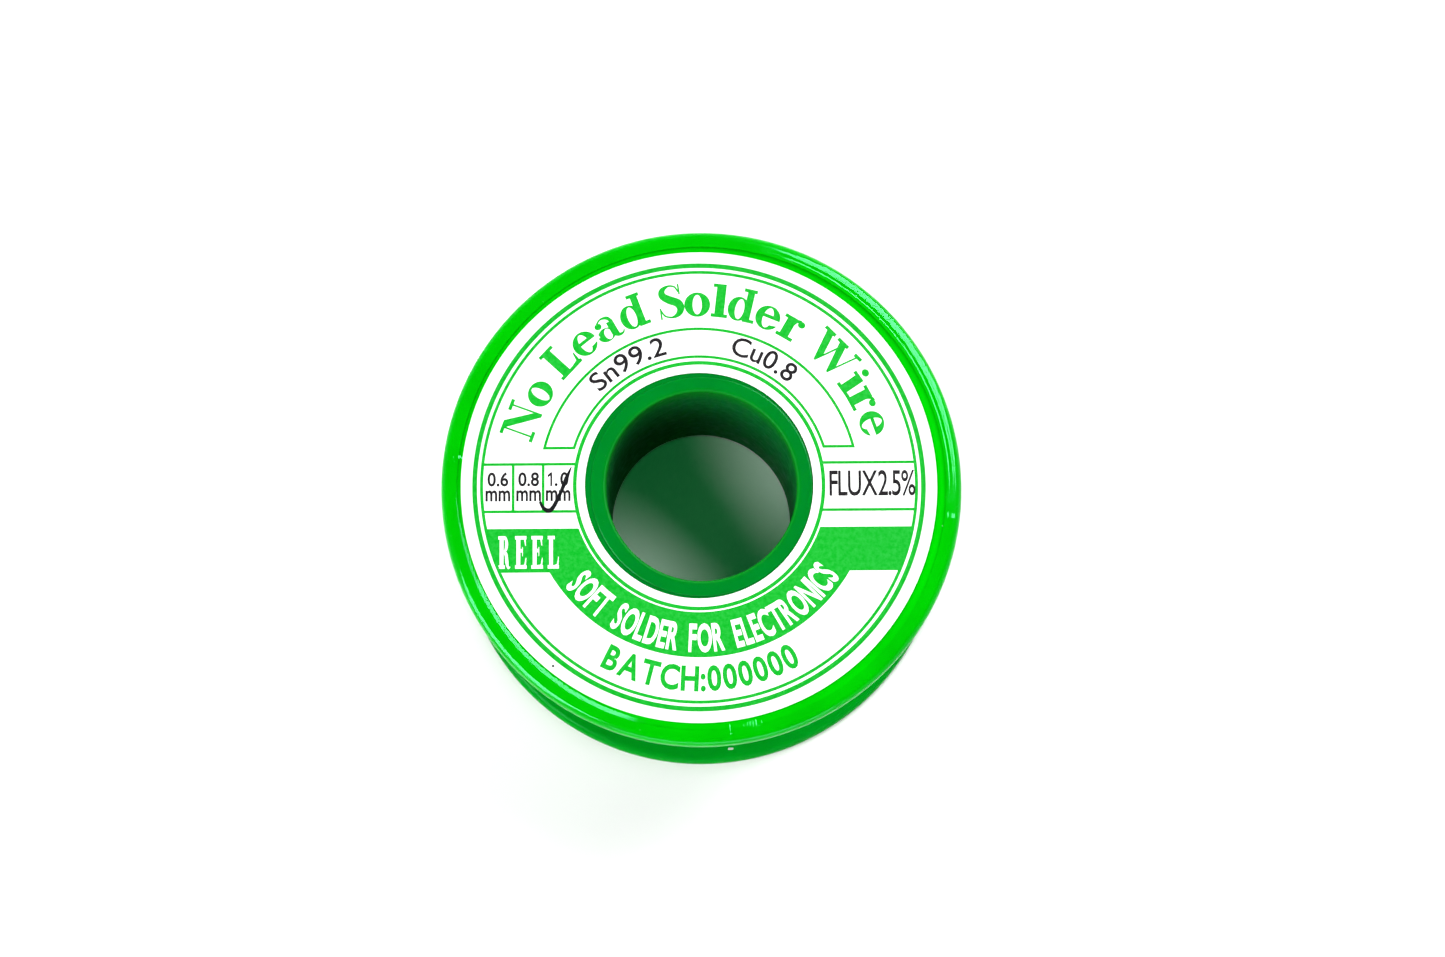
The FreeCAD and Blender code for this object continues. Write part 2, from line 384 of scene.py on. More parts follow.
def flux_material():
    """Amber rosin, cloudy inside and glassy where it is cut."""
    material, tree, shader = new_material("rosin_flux")
    cloud = noise(tree, 2500, 4)
    colour = colour_mix(tree, cloud, (0.45, 0.24, 0.05), (0.78, 0.52, 0.16))
    tree.links.new(colour, shader.inputs["Base Color"])
    spread = ramp(tree, cloud, 0.12, 0.3)
    tree.links.new(spread, shader.inputs["Roughness"])
    shader.inputs["Subsurface Weight"].default_value = 0.4
    shader.inputs["Subsurface Scale"].default_value = 0.3 * MM
    bump(tree, shader, cloud, 0.01 * MM)
    return material


def film_material():
    """Clear shrunk film: what is behind it shows, under the reflections of its two faces."""
    material, tree, shader = new_material("clear_film")
    tree.nodes.remove(shader)
    facing = add_node(tree, "ShaderNodeLayerWeight", Blend=0.5).outputs["Facing"]
    mirrored = ramp(tree, facing, 0.022, 0.001, 0.4, 0.8)
    haze = noise(tree, 300, 2)
    spread = ramp(tree, haze, 0.03, 0.07, 0.3, 0.7)
    clear = add_node(tree, "ShaderNodeBsdfTransparent", Color=(0.99, 1.0, 0.99, 1.0))
    gloss = add_node(tree, "ShaderNodeBsdfGlossy", Color=(*REFLECTION_TINT, 1), Roughness=spread)
    bump(tree, gloss, haze, 0.003 * MM)
    both = add_node(tree, "ShaderNodeMixShader", Fac=mirrored)
    tree.links.new(clear.outputs[0], both.inputs[1])
    tree.links.new(gloss.outputs[0], both.inputs[2])
    tree.links.new(both.outputs[0], tree.nodes["Material Output"].inputs["Surface"])
    return material


def dress(node, material):
    """Gives a CAD node its material."""
    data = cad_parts[node].data
    data.materials.clear()
    data.materials.append(material)


def outward_blend(tree, inner, outer, start, end):
    """From one colour to another between two distances from the axis."""
    return blend(tree, ramp(tree, distance_from_axis(tree), 0, 1, start, end), inner, outer)


def front_colour(tree):
    face = outward_blend(tree, HUB_GREEN, RIM_GREEN, *FRONT_BRIGHTENS)
    # Painted light: a brighter ring in the recess beside the label, over the shade of its wall
    face_with_recess_light = outward_blend(tree, face, RECESS_PAINTED_LIGHT_GREEN, *RECESS_STARTS)
    return outward_blend(tree, face_with_recess_light, RIM_GREEN, *RECESS_ENDS)


def rear_colour(tree):
    return outward_blend(tree, HUB_GREEN, REAR_GREEN, *REAR_BRIGHTENS)


def core_colour(tree):
    place = add_node(tree, "ShaderNodeTexCoord").outputs["Object"]
    height = add_node(tree, "ShaderNodeSeparateXYZ", Vector=place).outputs["Z"]
    near_top = ramp(tree, height, 0, 1, *LIP_LIGHTENS)
    bore = blend(tree, near_top, BORE_DEPTH_GREEN, BORE_LIP_GREEN)
    return outward_blend(tree, bore, HUB_GREEN, *BORE_ENDS)


def dress_cad_nodes():
    dress("front_flange", plastic_material("front_plastic", front_colour, 0.2, 1.0 * MM))
    dress("rear_flange", plastic_material("rear_plastic", rear_colour, 0.1, 1.0 * MM))
    dress("front_label", paper_material())
    flux = flux_material()
    dress("flux_core_start", flux)
    dress("flux_core_end", flux)


# ---------------------------------------------------------------- turned shapes

CORE_DIVISIONS = 240
CORE_LIP_ROUNDING = 0.3 * MM
CORE_END_ROUNDING = 0.2 * MM
SHOULDER_ROUNDING = 0.02 * MM
SHARP_EDGE = 50


def turned_piece(name, sections, angles, material):
    """A closed ring through a section at each angle, all with the same number of points."""
    size, count = len(sections[0]), len(angles)
    data = bpy.data.meshes.new(name)
    vertices = [polar(r, a, z) for section, a in zip(sections, angles) for r, z in section]
    faces = []
    for i in range(count):
        here, there = i * size, (i + 1) % count * size
        for j in range(size):
            after = (j + 1) % size
            faces.append((here + j, here + after, there + after, there + j))
    data.from_pydata(vertices, [], faces)
    mesh = bmesh.new()
    mesh.from_mesh(data)
    bmesh.ops.recalc_face_normals(mesh, faces=mesh.faces)
    mesh.to_mesh(data)
    mesh.free()
    data.polygons.foreach_set("use_smooth", [True] * len(faces))
    data.set_sharp_from_angle(angle=math.radians(SHARP_EDGE))
    data.materials.append(material)
    piece = bpy.data.objects.new(name, data)
    bpy.context.scene.collection.objects.link(piece)
    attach(piece, "root")
    return piece


def rounded_section(corners):
    """A closed section from (radius, height, rounding) corners, with a point either side of each
    rounding that keeps the flats beside it flat."""
    section = []
    for i, (r, z, rounding) in enumerate(corners):
        corner = np.array((r, z))
        before = np.array(corners[i - 1][:2]) - corner
        after = np.array(corners[(i + 1) % len(corners)][:2]) - corner
        before /= np.linalg.norm(before)
        after /= np.linalg.norm(after)
        section.append(corner + before * rounding * 1.3)
        for t in np.linspace(0, 1, 7):
            section.append(corner + (before * (1 - t) ** 2 + after * t**2) * rounding)
        section.append(corner + after * rounding * 1.3)
    return np.array(section)


def make_core():
    """The tube, with the softly rounded edges of a moulding."""
    low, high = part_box("core_tube")[0].z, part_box("core_tube")[1].z
    rear_shoulder, front_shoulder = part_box("rear_flange")[1].z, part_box("front_flange")[0].z
    section = rounded_section([
        (BORE_RADIUS, low, CORE_LIP_ROUNDING),
        (SPIGOT_RADIUS, low, CORE_END_ROUNDING),
        (SPIGOT_RADIUS, rear_shoulder, SHOULDER_ROUNDING),
        (CORE_RADIUS, rear_shoulder, SHOULDER_ROUNDING),
        (CORE_RADIUS, front_shoulder, SHOULDER_ROUNDING),
        (SPIGOT_RADIUS, front_shoulder, SHOULDER_ROUNDING),
        (SPIGOT_RADIUS, high, CORE_END_ROUNDING),
        (BORE_RADIUS, high, CORE_LIP_ROUNDING),
    ])
    angles = np.arange(CORE_DIVISIONS) * 360 / CORE_DIVISIONS
    material = plastic_material("core_plastic", core_colour, 0.25, 1.5 * MM)
    core = turned_piece("moulded_core", [section] * CORE_DIVISIONS, angles, material)
    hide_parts("core_tube")


# ---------------------------------------------------------------- shapes for print
#
# A shape is a list of (outline, sign). The inked area is wherever the signs of the outlines round a
# point add up to more than 0, so shapes join where they overlap, and a sign of -1 cuts a hole.

CIRCLE_POINTS = 180
MERGE_DISTANCE_MM = 1e-5


def polygon(points, sign=1):
    return [(np.array(points, float), sign)]


def rectangle(left, low, right, high):
    return polygon([(left, low), (right, low), (right, high), (left, high)])


def ellipse(x, y, half_width, half_height, sign=1, count=28):
    angles = np.linspace(0, 2 * math.pi, count, endpoint=False)
    points = np.column_stack([x + half_width * np.cos(angles), y + half_height * np.sin(angles)])
    return [(points, sign)]


def arc_points(radius, start, end, count):
    angles = np.radians(np.linspace(start, end, count))
    return np.column_stack([radius * np.cos(angles), radius * np.sin(angles)])


def ring(inner, outer):
    outside = ellipse(0, 0, outer, outer, 1, CIRCLE_POINTS)
    return outside + ellipse(0, 0, inner, inner, -1, CIRCLE_POINTS)


def brush(points, widths, count=10):
    """A stroke through the points, as wide at each one as its width says, with smooth sides."""
    points, widths = np.array(points, float), np.array(widths, float)
    padded = np.vstack([2 * points[0] - points[1], points, 2 * points[-1] - points[-2]])
    line, across = [], []
    for i in range(len(points) - 1):
        before, here, there, after = padded[i:i + 4]
        for t in np.linspace(0, 1, count, endpoint=i == len(points) - 2):
            line.append(0.5 * (2 * here + (there - before) * t
                               + (2 * before - 5 * here + 4 * there - after) * t**2
                               + (3 * here - before - 3 * there + after) * t**3))
            across.append(widths[i] + (widths[i + 1] - widths[i]) * t)
    line, across = np.array(line), np.array(across)[:, None] / 2
    heading = np.gradient(line, axis=0)
    heading /= np.linalg.norm(heading, axis=1)[:, None]
    normal = np.column_stack([-heading[:, 1], heading[:, 0]])
    return polygon(np.vstack([line + normal * across, (line - normal * across)[::-1]]))


def thickened(points, amount):
    """The outline with each point moved out to its right, which thickens an anticlockwise one."""
    edges = np.roll(points, -1, axis=0) - points
    edges /= np.linalg.norm(edges, axis=1)[:, None] + 1e-12
    normals = np.column_stack([edges[:, 1], -edges[:, 0]])
    sums = normals + np.roll(normals, 1, axis=0)
    sums /= np.maximum(np.sum(sums * sums, axis=1) / 2, 0.5)[:, None]
    return points + sums * amount


def transformed(shape, matrix, offset):
    return [(points @ np.array(matrix).T + np.array(offset), sign) for points, sign in shape]


def negative(shape):
    return [(points, -sign) for points, sign in shape]


def inside(points, outline):
    """Which of the points lie inside an outline, by counting its edges to the right of each."""
    within = np.zeros(len(points), bool)
    low, high = outline.min(0), outline.max(0)
    near = np.flatnonzero(np.all((points >= low) & (points <= high), axis=1))
    x, y = points[near, 0][:, None], points[near, 1][:, None]
    start, end = outline, np.roll(outline, -1, axis=0)
    spans = (start[:, 1] > y) != (end[:, 1] > y)
    rise = np.where(end[:, 1] == start[:, 1], 1.0, end[:, 1] - start[:, 1])
    edge_x = start[:, 0] + (y - start[:, 1]) * (end[:, 0] - start[:, 0]) / rise
    within[near] = np.sum(spans & (x < edge_x), axis=1) % 2 == 1
    return within


def filled(shape):
    """Points and triangles that cover a shape exactly once."""
    points = np.vstack([outline for outline, sign in shape])
    edges, first = [], 0
    for outline, sign in shape:
        count = len(outline)
        edges += [(first + i, first + (i + 1) % count) for i in range(count)]
        first += count
    found = delaunay_2d_cdt([Vector(p) for p in points], edges, [], 0, MERGE_DISTANCE_MM)
    places = np.array([tuple(p) for p in found[0]])
    triangles = np.array(found[2])
    middles = places[triangles].mean(axis=1)
    total = np.zeros(len(triangles), int)
    for outline, sign in shape:
        total += sign * inside(middles, outline)
    return places, triangles[total > 0]


def print_piece(name, shape, material):
    """A shape in millimetres about the label's centre, as a skin of ink on the label."""
    places, triangles = filled(shape)
    used, triangles = np.unique(triangles, return_inverse=True)
    places, triangles = places[used], triangles.reshape(-1, 3)
    count = len(places)
    centre = np.array([LABEL_CENTRE.x, LABEL_CENTRE.y])
    flat = places * MM + centre
    low = np.column_stack([flat, np.full(count, LABEL_TOP)])
    high = np.column_stack([flat, np.full(count, LABEL_TOP + INK_THICKNESS)])
    edges = [edge for a, b, c in triangles for edge in ((a, b), (b, c), (c, a))]
    known = set(edges)
    rims = [edge for edge in edges if edge[::-1] not in known]
    faces = [tuple(t + count) for t in triangles] + [tuple(t[::-1]) for t in triangles]
    faces += [(a, b, b + count, a + count) for a, b in rims]
    data = bpy.data.meshes.new(name)
    faces = [tuple(int(corner) for corner in face) for face in faces]
    data.from_pydata(np.vstack([low, high]).tolist(), [], faces)
    data.materials.append(material)
    piece = bpy.data.objects.new(name, data)
    bpy.context.scene.collection.objects.link(piece)
    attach(piece, "root")
    return piece


# ---------------------------------------------------------------- letters
#
# A letter is (shape, width), with capitals 1 high and the baseline at 0. The numbers in each one
# place its own strokes.

HAIR = 0.105
STEM = 0.25
X_HEIGHT = 0.7
SERIF = 0.09


def foot(x, y=0.0, left=SERIF, right=SERIF, width=STEM):
    """The hairline serif of a stem whose left side is at x."""
    return rectangle(x - left, y, x + width + right, y + HAIR)


def head(x, height, left=SERIF, right=0.0, width=STEM):
    return foot(x, height - HAIR, left, right, width)


def stem(x, height, width=STEM):
    return rectangle(x, 0, x + width, height)


def bowl(x, y, half_width, half_height, inner_width, inner_height, shift=0.0):
    outer = ellipse(x, y, half_width, half_height, 1, 40)
    return outer + ellipse(x + shift, y, inner_width, inner_height, -1, 32)


def serif_letters():
    mid = X_HEIGHT / 2
    letter_r = stem(0.09, X_HEIGHT) + foot(0.09, right=0.14) + head(0.09, X_HEIGHT)
    letter_r += brush([(0.27, 0.44), (0.34, 0.62), (0.47, 0.69)], [HAIR, HAIR, 0.07])
    letter_r += ellipse(0.5, 0.6, 0.1, 0.1)
    letter_e = bowl(0.34, mid, 0.33, mid + 0.015, 0.13, mid - 0.05)
    letter_e += rectangle(0.15, 0.35, 0.52, 0.35 + HAIR)
    letter_e += polygon([(0.45, 0.16), (0.75, 0.22), (0.75, 0.35), (0.45, 0.35)], -1)
    letter_a = bowl(0.25, 0.2, 0.24, 0.21, 0.1, 0.165, 0.05) + rectangle(0.38, 0.08, 0.57, 0.52)
    letter_a += brush([(0.53, 0.5), (0.45, 0.65), (0.28, 0.69), (0.13, 0.6)], [0.09, 0.1, 0.05, 0.05])
    letter_a += ellipse(0.15, 0.53, 0.095, 0.095)
    letter_a += brush([(0.48, 0.12), (0.55, 0.03), (0.66, 0.03), (0.72, 0.1)], [0.17, 0.1, 0.06, 0.03])
    letter_d = bowl(0.29, mid, 0.28, mid + 0.015, 0.115, mid - 0.05, 0.03) + stem(0.44, 1, 0.19)
    letter_d += head(0.44, 1, left=0.1) + foot(0.5, left=0, right=0.12, width=0.13)
    letter_s = brush(
        [(0.58, 0.76), (0.5, 0.92), (0.34, 0.97), (0.17, 0.87), (0.16, 0.7), (0.33, 0.55),
         (0.52, 0.43), (0.58, 0.26), (0.5, 0.1), (0.33, 0.03), (0.15, 0.1), (0.06, 0.28)],
        [0.04, 0.05, 0.06, 0.15, 0.2, 0.24, 0.24, 0.2, 0.15, 0.06, 0.05, 0.04],
    )
    letter_s += rectangle(0.575, 0.68, 0.62, 1.0) + rectangle(0.03, 0.0, 0.075, 0.34)
    letter_n = rectangle(0.15, 0, 0.2, 0.97) + rectangle(0.78, 0, 0.83, 1)
    letter_n += polygon([(0.1, 1), (0.35, 1), (0.83, 0.18), (0.83, 0), (0.74, 0), (0.13, 0.97)])
    letter_n += foot(0.15, left=0.12, right=0.12, width=0.05) + head(0.1, 1, left=0.1, width=0.2)
    letter_n += head(0.78, 1, left=0.13, right=0.12, width=0.05)
    letter_l_capital = stem(0.1, 1) + head(0.1, 1, right=0.12) + foot(0.1, right=0.4)
    letter_l_capital += polygon([
        (0.45, 0), (0.7, 0), (0.74, 0.36), (0.7, 0.36), (0.63, 0.14), (0.45, HAIR),
    ])
    letter_w = polygon([(0.06, 1), (0.28, 1), (0.5, 0.25), (0.43, 0), (0.38, 0)])
    letter_w += polygon([(0.38, 0), (0.43, 0), (0.7, 0.85), (0.67, 0.93)])
    letter_w += polygon([(0.52, 1), (0.74, 1), (0.96, 0.25), (0.89, 0), (0.84, 0)])
    letter_w += polygon([(0.84, 0), (0.89, 0), (1.2, 0.98), (1.15, 0.98)])
    letter_w += rectangle(0, 1 - HAIR, 0.36, 1) + rectangle(0.46, 1 - HAIR, 0.82, 1)
    letter_w += rectangle(1.06, 1 - HAIR, 1.3, 1)
    letter_e_capital = stem(0.1, 1) + head(0.1, 1, right=0.4) + foot(0.1, right=0.42)
    letter_e_capital += rectangle(0.28, 0.5, 0.5, 0.5 + HAIR) + rectangle(0.48, 0.38, 0.52, 0.66)
    letter_e_capital += polygon([
        (0.4, 1), (0.69, 1), (0.72, 0.7), (0.68, 0.7), (0.6, 0.9), (0.4, 1 - HAIR),
    ])
    letter_e_capital += polygon([
        (0.4, 0), (0.71, 0), (0.75, 0.33), (0.71, 0.33), (0.62, 0.12), (0.4, HAIR),
    ])
    letter_r_capital = stem(0.1, 1) + head(0.1, 1, right=0.1) + foot(0.1)
    loop = arc_points(0.25, 90, -90, 16) + (0.4, 0.75)
    letter_r_capital += polygon(np.vstack([[(0.2, 1)], loop, [(0.2, 0.5)]]))
    eye = arc_points(0.2, 90, -90, 16) * (0.5, 1) + (0.36, 0.75)
    letter_r_capital += polygon(np.vstack([[(0.3, 0.95)], eye, [(0.3, 0.55)]]), -1)
    leg = [(0.38, 0.5), (0.52, 0.42), (0.58, 0.2), (0.66, 0.04), (0.8, 0.05)]
    letter_r_capital += brush(leg, [0.08, 0.18, 0.2, 0.1, 0.03])
    letter_i = stem(0.09, X_HEIGHT) + foot(0.09) + head(0.09, X_HEIGHT)
    letter_i += ellipse(0.19, 0.88, 0.105, 0.105)
    return {
        "N": (letter_n, 0.95),
        "L": (letter_l_capital, 0.74),
        "S": (letter_s, 0.65),
        "W": (letter_w, 1.3),
        "R": (letter_r_capital, 0.78),
        "E": (letter_e_capital, 0.75),
        "o": (bowl(0.34, mid, 0.34, mid + 0.015, 0.12, mid - 0.06), 0.68),
        "e": (letter_e, 0.67),
        "a": (letter_a, 0.7),
        "d": (letter_d, 0.72),
        "l": (stem(0.09, 1) + foot(0.09) + head(0.09, 1), 0.38),
        "i": (letter_i, 0.38),
        "r": (letter_r, 0.6),
    }


SERIF_LETTERS = serif_letters()
# The built-in font's 1 is a bare bar, so it gets a flag
FIGURE_ONE = [(0.22, 0), (0.31, 0), (0.31, 1), (0.24, 1), (0.0, 0.8), (0.0, 0.69), (0.22, 0.83)]


def font_outlines(text):
    """The outlines of some text in the built-in plain font, as arrays of points."""
    data = bpy.data.curves.new("text", "FONT")
    data.body = text
    data.fill_mode = "NONE"
    data.resolution_u = 4
    holder = bpy.data.objects.new("text", data)
    bpy.context.scene.collection.objects.link(holder)
    graph = bpy.context.evaluated_depsgraph_get()
    mesh = bpy.data.meshes.new_from_object(holder.evaluated_get(graph))
    places = np.array([v.co[:2] for v in mesh.vertices])
    following = {}
    for edge in mesh.edges:
        a, b = edge.vertices
        following.setdefault(a, []).append(b)
        following.setdefault(b, []).append(a)
    outlines = []
    unvisited = set(following)
    while unvisited:
        first = min(unvisited)
        loop, before, here = [first], first, min(following[first])
        while here != first:
            loop.append(here)
            before, here = here, next(n for n in following[here] if n != before)
        unvisited -= set(loop)
        outlines.append(places[loop])
    bpy.data.objects.remove(holder)
    bpy.data.curves.remove(data)
    bpy.data.meshes.remove(mesh)
    return outlines


def twice_area(points):
    x, y = points[:, 0], points[:, 1]
    return float(np.sum(x * np.roll(y, -1) - y * np.roll(x, -1)))


@functools.cache
def sans_letter(character, boldness):
    """A letter of the built-in font. An outline inside an odd number of others is a hole."""
    if character == "1":
        outlines = [np.array(FIGURE_ONE)]
    else:
        capital = max(p[:, 1].max() for p in font_outlines("H"))
        outlines = [p / capital for p in font_outlines(character)]
    shape = []
    for points in outlines:
        depth = sum(bool(inside(points[:1], other)[0]) for other in outlines if other is not points)
        anticlockwise = twice_area(points) > 0
        if anticlockwise == bool(depth % 2):
            points = points[::-1]
        shape.append((thickened(points, boldness), -1 if depth % 2 else 1))
    left = min(points[:, 0].min() for points, sign in shape)
    right = max(points[:, 0].max() for points, sign in shape)
    return transformed(shape, np.eye(2), (-left, 0)), right - left


def set_line(text, letter_of, height, stretch, length, word_gap):
    """The letters of a line that is so long, with the places of their middles along it. The gaps
    between letters take up what the letters and the extra gaps between words leave."""
    letters = [letter_of(character) for character in text if character != " "]
    widths = [width * height * stretch for shape, width in letters]
    spare = length - sum(widths) - text.count(" ") * word_gap
    gap = spare / (len(letters) - 1)
    scale = [[height * stretch, 0], [0, height]]
    placed = []
    x = 0.0
    for character in text:
        if character == " ":
            x += word_gap
            continue
        letter = letters[len(placed)][0]
        wide = widths[len(placed)]
        placed.append((transformed(letter, scale, (-wide / 2, 0)), x + wide / 2))
        x += wide + gap
    return placed


def straight_text(text, letter_of, height, stretch, start, end, baseline):
    shape = []
    for letter, x in set_line(text, letter_of, height, stretch, end - start, 0):
        shape += transformed(letter, np.eye(2), (start + x, baseline))
    return shape


def arc_text(text, letter_of, height, stretch, radius, start, end, word_gap=1.0):
    """Text round a circle from one direction to another, with its baseline at the radius. It goes
    clockwise with its foot inward, or anticlockwise with its foot outward."""
    way = 1 if end > start else -1
    halfway = radius - way * height / 2
    length = abs(math.radians(end - start)) * halfway
    shape = []
    for letter, x in set_line(text, letter_of, height, stretch, length, word_gap):
        angle = math.radians(start) + way * x / halfway
        outward = np.array([math.cos(angle), math.sin(angle)])
        up = -way * outward
        along = np.array([up[1], -up[0]])
        shape += transformed(letter, np.column_stack([along, up]), outward * radius)
    return shape


# ---------------------------------------------------------------- the label's print
#
# Millimetres from the label's centre, +y towards its top.

INK_THICKNESS = 0.006 * MM
OUTER_RING = (23.34, 23.85)
SECOND_RING = (22.7, 23.04)
INNER_RING = (12.88, 13.28)
RULE = 0.3
CELL_ROW = (-2.72, 2.31)
CELL_DIVIDERS = (-19.55, -16.4)
CELL_MIDDLES = (-21.15, -17.92, -14.82)
ALLOY_FRAME = (13.75, 16.75)
ALLOY_FRAME_FOOT = 4.03
BAND = (13.45, 18.2)
BAND_BLOCKS = (-9.18, -4.53)
OVERLAP = 0.1
STRAY_SPECK = (-15.35, -18.99)


def crossing(radius, y):
    """How far out a level line at y meets a circle."""
    return math.sqrt(radius * radius - y * y)


def rule(start, end, y):
    return rectangle(min(start, end), y - RULE / 2, max(start, end), y + RULE / 2)


def rings():
    return ring(*OUTER_RING) + ring(*SECOND_RING) + ring(*INNER_RING)


def cell_rows():
    """Two level rules on each side, between the inner ring and the second one, and the dividers."""
    shape = []
    for side in (-1, 1):
        for y in CELL_ROW:
            near = crossing(INNER_RING[1] - OVERLAP, y)
            far = crossing(SECOND_RING[0] + OVERLAP, y)
            shape += rule(side * near, side * far, y)
    for x in CELL_DIVIDERS:
        shape += rectangle(x - RULE / 2, CELL_ROW[0], x + RULE / 2, CELL_ROW[1])
    return shape


def half_ring_outline(inner, outer, foot_y, count=60):
    """The outline of the part of a ring that is above a level line."""
    outer_angle = math.degrees(math.asin(foot_y / outer))
    inner_angle = math.degrees(math.asin(foot_y / inner))
    return np.vstack([
        arc_points(outer, outer_angle, 180 - outer_angle, count),
        arc_points(inner, 180 - inner_angle, inner_angle, count),
    ])


def alloy_frame():
    inner, outer = ALLOY_FRAME
    edge = RULE / 2
    outside = half_ring_outline(inner - edge, outer + edge, ALLOY_FRAME_FOOT - edge)
    inside_edge = half_ring_outline(inner + edge, outer - edge, ALLOY_FRAME_FOOT + edge)
    return polygon(outside) + polygon(inside_edge, -1)


def band():
    """The solid band round the lower half, with a block out to the ring on each side."""
    low, high = BAND_BLOCKS
    inner, outer = BAND
    reach = SECOND_RING[0] + OVERLAP

    def angle(radius, y):
        return math.degrees(math.asin(y / radius))

    return polygon(np.vstack([
        arc_points(inner, -180 - angle(inner, high), angle(inner, high), 60),
        arc_points(reach, angle(reach, high), angle(reach, low), 12),
        arc_points(outer, angle(outer, low), -180 - angle(outer, low), 60),
        arc_points(reach, -180 - angle(reach, low), -180 - angle(reach, high), 12),
    ]))


def serif(character):
    return SERIF_LETTERS[character]


def bold_sans(character):
    return sans_letter(character, 0.045)


def medium_sans(character):
    return sans_letter(character, 0.035)


def light_sans(character):
    return sans_letter(character, 0.016)


def knocked_out():
    """The words left as bare paper in the band."""
    shape = straight_text(
        "REEL", serif, height=3.45, stretch=0.46, start=-21.1, end=-14.75, baseline=-8.75
    )
    shape += arc_text(
        "SOFT SOLDER FOR ELECTRONICS", bold_sans,
        height=2.75, stretch=0.47, radius=17.54, start=-143.1, end=-33.6,
    )
    return shape


def green_print():
    title = arc_text(
        "No Lead Solder Wire", serif,
        height=3.62, stretch=1.12, radius=18.1, start=165.2, end=15.6, word_gap=1.2,
    )
    batch = arc_text(
        "BATCH:000000", bold_sans,
        height=2.45, stretch=0.82, radius=21.65, start=-119.0, end=-60.9,
    )
    return rings() + cell_rows() + alloy_frame() + band() + negative(knocked_out()) + title + batch


def black_print():
    shape = arc_text(
        "Sn99.2", light_sans, height=1.98, stretch=1.12, radius=14.4, start=136.0, end=103.4
    )
    shape += arc_text(
        "Cu0.8", light_sans, height=1.98, stretch=1.05, radius=14.4, start=76.4, end=49.0
    )
    shape += ellipse(*STRAY_SPECK, 0.15, 0.12)
    shape += straight_text(
        "FLUX2.5%", light_sans, height=2.6, stretch=0.6, start=13.7, end=22.75, baseline=-1.2
    )
    for size, middle in zip(("0.6", "0.8", "1.0"), CELL_MIDDLES):
        shape += straight_text(
            size, medium_sans,
            height=1.38, stretch=0.9, start=middle - 1.1, end=middle + 1.1, baseline=0.03,
        )
        shape += straight_text(
            "mm", medium_sans,
            height=1.6, stretch=0.75, start=middle - 1.3, end=middle + 1.3, baseline=-1.56,
        )
    return shape


def pen_tick():
    """The tick that marks the wire's size, drawn with a felt pen."""
    return brush(
        [(-16.75, -1.65), (-16.35, -2.35), (-15.8, -2.62), (-15.3, -2.2),
         (-14.55, -0.7), (-13.95, 0.8), (-13.42, 2.05)],
        [0.26, 0.38, 0.5, 0.44, 0.36, 0.46, 0.08],
    )


def make_print():
    green = ink_material("green_ink", (0.015, 0.38, 0.035), (0.0, 0.33, 0.012))
    black = ink_material("black_ink", (0.02, 0.018, 0.02), (0.006, 0.005, 0.006))
    pen = ink_material("pen_ink", (0.01, 0.01, 0.012), (0.003, 0.003, 0.004))
    print_piece("green_print", green_print(), green)
    print_piece("black_print", black_print(), black)
    tick = print_piece("pen_tick", pen_tick(), pen)
    for vertex in tick.data.vertices:
        vertex.co.z += INK_THICKNESS


# ---------------------------------------------------------------- the shrunk film

FILM_THICKNESS = 0.08 * MM
FILM_LOOSENESS = 0.02 * MM
FILM_LIP_RADIUS = 23.3 * MM
FILM_STEP_RADIUS = 25.35 * MM
FILM_WAIST = 0.5 * MM
RIM_FOLDS = 2
RIM_FOLD_HEIGHT = 0.03 * MM
SEAM_DIRECTION = -84.0
SEAM_WIDTH = 0.12 * MM
SEAM_HEIGHT = 0.035 * MM
TUCKS_DIRECTION = SEAM_DIRECTION + 5.5
TUCKS_WIDTH = 1.4 * MM
TUCKS_HEIGHT = 0.02 * MM
# The creases at the ends of one diameter, where the sleeve was folded flat: direction and width
CREASES = ((-8, 0.3 * MM), (173.4, 0.25 * MM))
CREASE_HEIGHT = 0.05 * MM
LIP_WAVE_HEIGHT = 0.01 * MM


def film_half(fold_height):
    """Radius and height along the film, from its front lip to just short of its waist, with fine
    folds round the face of the rim."""
    offset = FILM_LOOSENESS + FILM_THICKNESS / 2
    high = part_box("front_flange")[1].z
    edge_radius = FLANGE_RADIUS - RIM_ROUNDING
    edge_z = high - RIM_ROUNDING
    half = [(r, LABEL_TOP + offset) for r in np.linspace(FILM_LIP_RADIUS, FILM_STEP_RADIUS, 9)]
    for share in np.linspace(0, 1, 17):
        r = RECESS_RADIUS + share * (edge_radius - RECESS_RADIUS)
        fold = fold_height * (1 - math.cos(2 * math.pi * RIM_FOLDS * share)) / 2
        half.append((r, high + offset + fold))
    for angle in np.radians(np.arange(78, -1, -13)):
        reach = RIM_ROUNDING + offset
        half.append((edge_radius + reach * math.cos(angle), edge_z + reach * math.sin(angle)))
    side_radius = half[-1][0]
    for share in np.linspace(0, 1, 14)[1:-1]:
        inward = FILM_WAIST * (1 - (1 - share) ** 2)
        half.append((side_radius - inward, edge_z - share * (edge_z - MIDDLE_Z)))
    return half


def film_path():
    """Radius and height along the middle of the film, from its front lip to its rear one."""
    waist = (FLANGE_RADIUS + FILM_LOOSENESS + FILM_THICKNESS / 2 - FILM_WAIST, MIDDLE_Z)
    rear = [(r, 2 * MIDDLE_Z - z) for r, z in reversed(film_half(0.0))]
    return np.array(film_half(RIM_FOLD_HEIGHT) + [waist] + rear)


